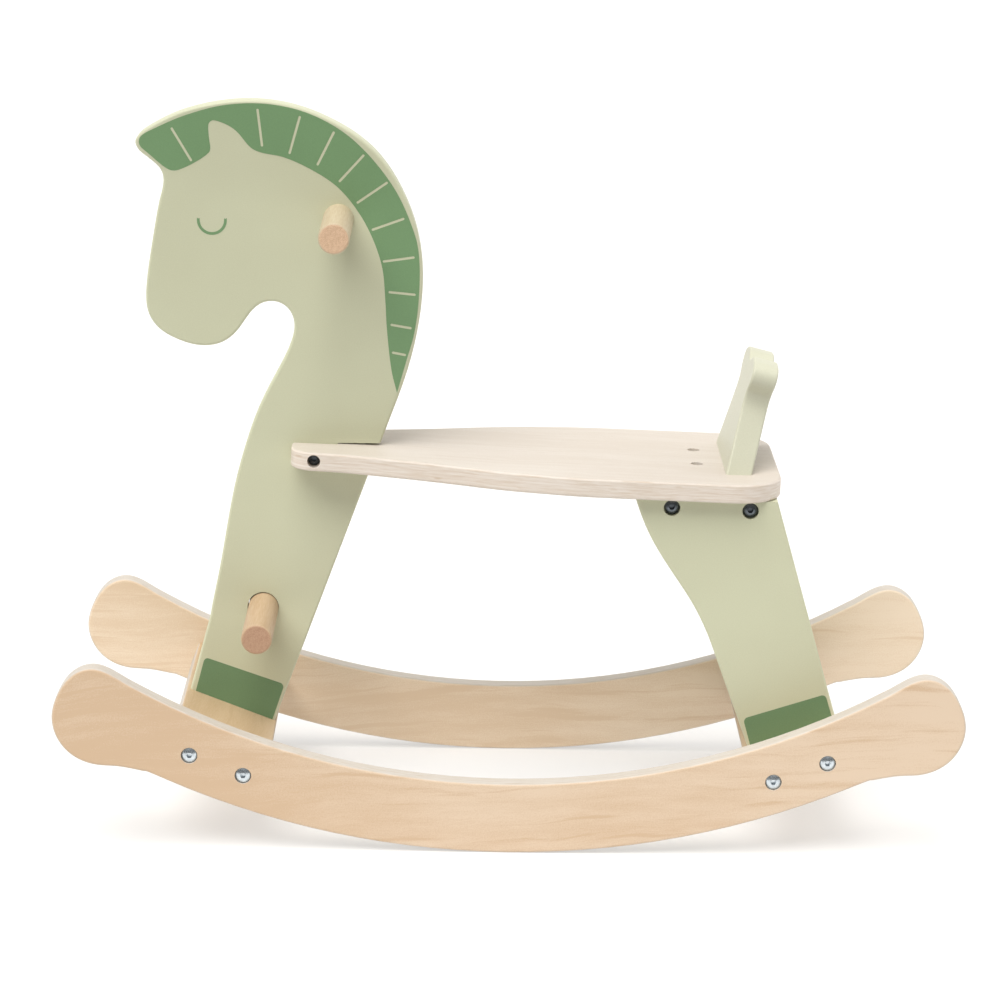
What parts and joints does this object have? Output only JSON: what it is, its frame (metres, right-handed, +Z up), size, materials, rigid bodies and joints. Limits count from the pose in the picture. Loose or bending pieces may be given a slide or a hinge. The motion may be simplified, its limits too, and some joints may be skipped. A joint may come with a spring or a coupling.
{
  "type": "rocking horse",
  "caption": "Toddler's plywood rocking horse: curved rockers with crossbars, flat horse-shaped front panel, handle and footrest bars, lapped seat, rear legs and small backrest.",
  "frame": {"origin": "on the floor at the middle of the footprint, midway between the rockers and under their lowest point", "axes": "+X towards the tail (the horse faces -X), +Y towards the horse's right side, +Z up"},
  "size_m": [0.7, 0.276, 0.5624],
  "materials": {
    "rocker_plywood": "clear satin lacquer",
    "seat_plywood": "clear satin lacquer, pale",
    "crossbar_plywood": "clear satin lacquer",
    "dowel_wood": "clear satin lacquer",
    "painted_plywood": "pale sage satin paint with darker green markings",
    "zinc_steel": "zinc plated"
  },
  "bodies": {
    "root": {"left_rocker": "rocker_plywood", "right_rocker": "rocker_plywood", "front_crossbar": "crossbar_plywood", "front_crossbar_barrel_nuts": "zinc_steel", "front_left_rocker_bolts": "zinc_steel", "front_right_rocker_bolts": "zinc_steel", "rear_crossbar": "crossbar_plywood", "rear_crossbar_barrel_nuts": "zinc_steel", "rear_left_rocker_bolts": "zinc_steel", "rear_right_rocker_bolts": "zinc_steel", "horse_panel": "painted_plywood", "panel_foot_screws": "zinc_steel", "seat_clamp_bolt": "zinc_steel", "seat_clamp_nut": "zinc_steel", "handle_bar": "dowel_wood", "footrest_bar": "dowel_wood", "seat": "seat_plywood", "seat_screws": "zinc_steel", "backrest_screws": "zinc_steel", "left_rear_leg": "painted_plywood", "left_leg_bolts": "zinc_steel", "left_leg_foot_screws": "zinc_steel", "left_support_barrel_nuts": "zinc_steel", "right_rear_leg": "painted_plywood", "right_leg_bolts": "zinc_steel", "right_leg_foot_screws": "zinc_steel", "right_support_barrel_nuts": "zinc_steel", "seat_support": "crossbar_plywood", "backrest": "painted_plywood"}
  },
  "joints": []
}
